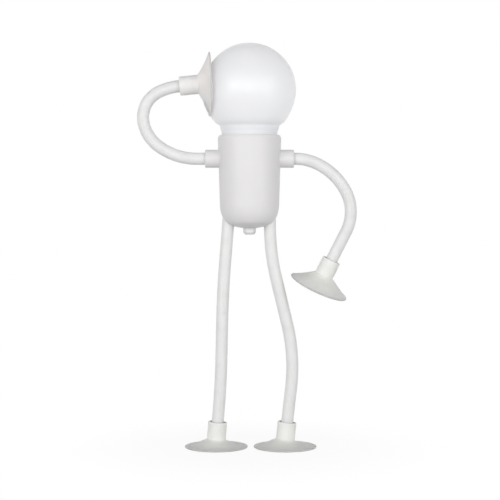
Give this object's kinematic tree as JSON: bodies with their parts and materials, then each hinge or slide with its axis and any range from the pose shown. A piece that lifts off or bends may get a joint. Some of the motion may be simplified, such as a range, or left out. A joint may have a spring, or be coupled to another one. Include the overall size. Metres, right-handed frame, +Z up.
{
  "type": "night light",
  "caption": "Bendable figure night light: globe head and tapered body on four wire-cored silicone limbs that end in suction cups, with a push button underneath.",
  "frame": {"origin": "on the surface it stands on, under the axis of the body", "axes": "+Z up along the body, -Y the way the figure looks, +X to the figure's left hand side"},
  "size_m": [0.1449, 0.061, 0.2678],
  "materials": {
    "housing_plastic": "fine satin moulded plastic",
    "globe_diffuser": "frosted translucent diffuser",
    "button_plastic": "satin moulded plastic",
    "limb_silicone": "translucent white silicone tube",
    "cup_silicone": "translucent grey-white silicone",
    "wire_steel": "drawn wire",
    "ferrule_aluminium": "crimped",
    "switch_black": "moulded",
    "dome_rubber": "soft",
    "carrier_plastic": "moulded",
    "cell_wrap": "shrink wrap",
    "led_board_white": "white solder mask on aluminium",
    "led_phosphor": "phosphor gel",
    "board_green": "solder mask",
    "chip_black": "moulded",
    "socket_steel": "stamped",
    "screw_steel": "zinc plated",
    "lead_red": "insulation",
    "lead_black": "insulation",
    "lead_white": "insulation"
  },
  "bodies": {
    "torso": {"housing": "housing_plastic", "globe": "globe_diffuser", "limb_ferrules": "ferrule_aluminium", "switch_case": "switch_black", "switch_dome": "dome_rubber", "carrier": "carrier_plastic", "cell": "cell_wrap", "led_board": "led_board_white", "led_chips": "led_phosphor", "control_board": "board_green", "board_chips": "chip_black", "usb_shell": "socket_steel", "usb_tongue": "chip_black", "frame_screws": "screw_steel", "cell_lead_red": "lead_red", "cell_lead_black": "lead_black", "signal_leads": "lead_white", "right_arm_sleeve_root": "limb_silicone", "right_arm_wire_root": "wire_steel", "left_arm_sleeve_root": "limb_silicone", "left_arm_wire_root": "wire_steel", "right_leg_sleeve_root": "limb_silicone", "right_leg_wire_root": "wire_steel", "left_leg_sleeve_root": "limb_silicone", "left_leg_wire_root": "wire_steel"},
    "button": {"button": "button_plastic"},
    "right_arm_upper": {"right_arm_sleeve_upper": "limb_silicone", "right_arm_wire_upper": "wire_steel"},
    "right_arm_fore": {"right_arm_sleeve_fore": "limb_silicone", "right_arm_wire_fore": "wire_steel"},
    "right_arm_end": {"right_arm_sleeve_end": "limb_silicone", "right_arm_wire_end": "wire_steel", "right_hand_cup": "cup_silicone"},
    "left_arm_upper": {"left_arm_sleeve_upper": "limb_silicone", "left_arm_wire_upper": "wire_steel"},
    "left_arm_middle": {"left_arm_sleeve_middle": "limb_silicone", "left_arm_wire_middle": "wire_steel"},
    "left_arm_fore": {"left_arm_sleeve_fore": "limb_silicone", "left_arm_wire_fore": "wire_steel"},
    "left_arm_end": {"left_arm_sleeve_end": "limb_silicone", "left_arm_wire_end": "wire_steel", "left_hand_cup": "cup_silicone"},
    "right_leg_hip": {"right_leg_sleeve_hip": "limb_silicone", "right_leg_wire_hip": "wire_steel"},
    "right_leg_thigh": {"right_leg_sleeve_thigh": "limb_silicone", "right_leg_wire_thigh": "wire_steel"},
    "right_leg_shin": {"right_leg_sleeve_shin": "limb_silicone", "right_leg_wire_shin": "wire_steel"},
    "right_leg_end": {"right_leg_sleeve_end": "limb_silicone", "right_leg_wire_end": "wire_steel", "right_foot_cup": "cup_silicone"},
    "left_leg_hip": {"left_leg_sleeve_hip": "limb_silicone", "left_leg_wire_hip": "wire_steel"},
    "left_leg_thigh": {"left_leg_sleeve_thigh": "limb_silicone", "left_leg_wire_thigh": "wire_steel"},
    "left_leg_shin": {"left_leg_sleeve_shin": "limb_silicone", "left_leg_wire_shin": "wire_steel"},
    "left_leg_end": {"left_leg_sleeve_end": "limb_silicone", "left_leg_wire_end": "wire_steel", "left_foot_cup": "cup_silicone"}
  },
  "joints": [
    {"name": "right_shoulder_swing", "type": "hinge", "parent": "torso", "child": "right_arm_upper", "pos_m": [-0.0372, -0.00001, 0.19097], "axis": [0, -0.9962, -0.0872], "range_deg": [0, 55]},
    {"name": "right_arm_turn", "type": "hinge", "parent": "right_arm_upper", "child": "right_arm_fore", "pos_m": [-0.05529, -0.00047, 0.19621], "axis": [0.8096, 0.0068, 0.587], "range_deg": [-40, 20]},
    {"name": "right_elbow_turn", "type": "hinge", "parent": "right_arm_fore", "child": "right_arm_end", "pos_m": [-0.06971, -0.00214, 0.2154], "axis": [0.9575, 0.0294, 0.287], "range_deg": [-45, 20]},
    {"name": "left_shoulder_lift", "type": "hinge", "parent": "torso", "child": "left_arm_upper", "pos_m": [0.03715, 0.00005, 0.19016], "axis": [0, -0.9976, -0.0698], "range_deg": [0, 60]},
    {"name": "left_arm_swing", "type": "hinge", "parent": "left_arm_upper", "child": "left_arm_middle", "pos_m": [0.05535, 0.00075, 0.18022], "axis": [0.6876, -0.0506, 0.7243], "range_deg": [-50, 50]},
    {"name": "left_elbow_bend", "type": "hinge", "parent": "left_arm_middle", "child": "left_arm_fore", "pos_m": [0.0669, 0.00233, 0.15765], "axis": [0, -0.9976, -0.0698], "range_deg": [-6, 60]},
    {"name": "left_wrist_bend", "type": "hinge", "parent": "left_arm_fore", "child": "left_arm_end", "pos_m": [0.05956, 0.00396, 0.13421], "axis": [0, -0.9976, -0.0698], "range_deg": [-12, 50]},
    {"name": "right_hip_swing", "type": "hinge", "parent": "torso", "child": "right_leg_hip", "pos_m": [-0.01496, 0, 0.13704], "axis": [-1, 0, 0], "range_deg": [-55, 55]},
    {"name": "right_leg_spread", "type": "hinge", "parent": "right_leg_hip", "child": "right_leg_thigh", "pos_m": [-0.01653, 0, 0.1171], "axis": [0, 1, 0], "range_deg": [0, 30]},
    {"name": "right_knee_bend", "type": "hinge", "parent": "right_leg_thigh", "child": "right_leg_shin", "pos_m": [-0.01821, 0, 0.07714], "axis": [1, 0, 0], "range_deg": [-55, 55]},
    {"name": "right_ankle_bend", "type": "hinge", "parent": "right_leg_shin", "child": "right_leg_end", "pos_m": [-0.01953, 0, 0.03717], "axis": [1, 0, 0], "range_deg": [-40, 40]},
    {"name": "left_hip_swing", "type": "hinge", "parent": "torso", "child": "left_leg_hip", "pos_m": [0.01383, 0, 0.13701], "axis": [-1, 0, 0], "range_deg": [-55, 55]},
    {"name": "left_leg_spread", "type": "hinge", "parent": "left_leg_hip", "child": "left_leg_thigh", "pos_m": [0.01648, 0, 0.1172], "axis": [0, -1, 0], "range_deg": [0, 30]},
    {"name": "left_knee_bend", "type": "hinge", "parent": "left_leg_thigh", "child": "left_leg_shin", "pos_m": [0.02569, 0, 0.07827], "axis": [1, 0, 0], "range_deg": [-55, 55]},
    {"name": "left_ankle_bend", "type": "hinge", "parent": "left_leg_shin", "child": "left_leg_end", "pos_m": [0.02741, 0, 0.0385], "axis": [1, 0, 0], "range_deg": [-40, 40]},
    {"name": "button_press", "type": "slide", "parent": "torso", "child": "button", "axis": [0, 0, 1], "range_m": [0, 0.0012], "stiffness_N_per_m": 400, "springref_m": -0.0003, "deforming": ["switch_dome"]}
  ]
}
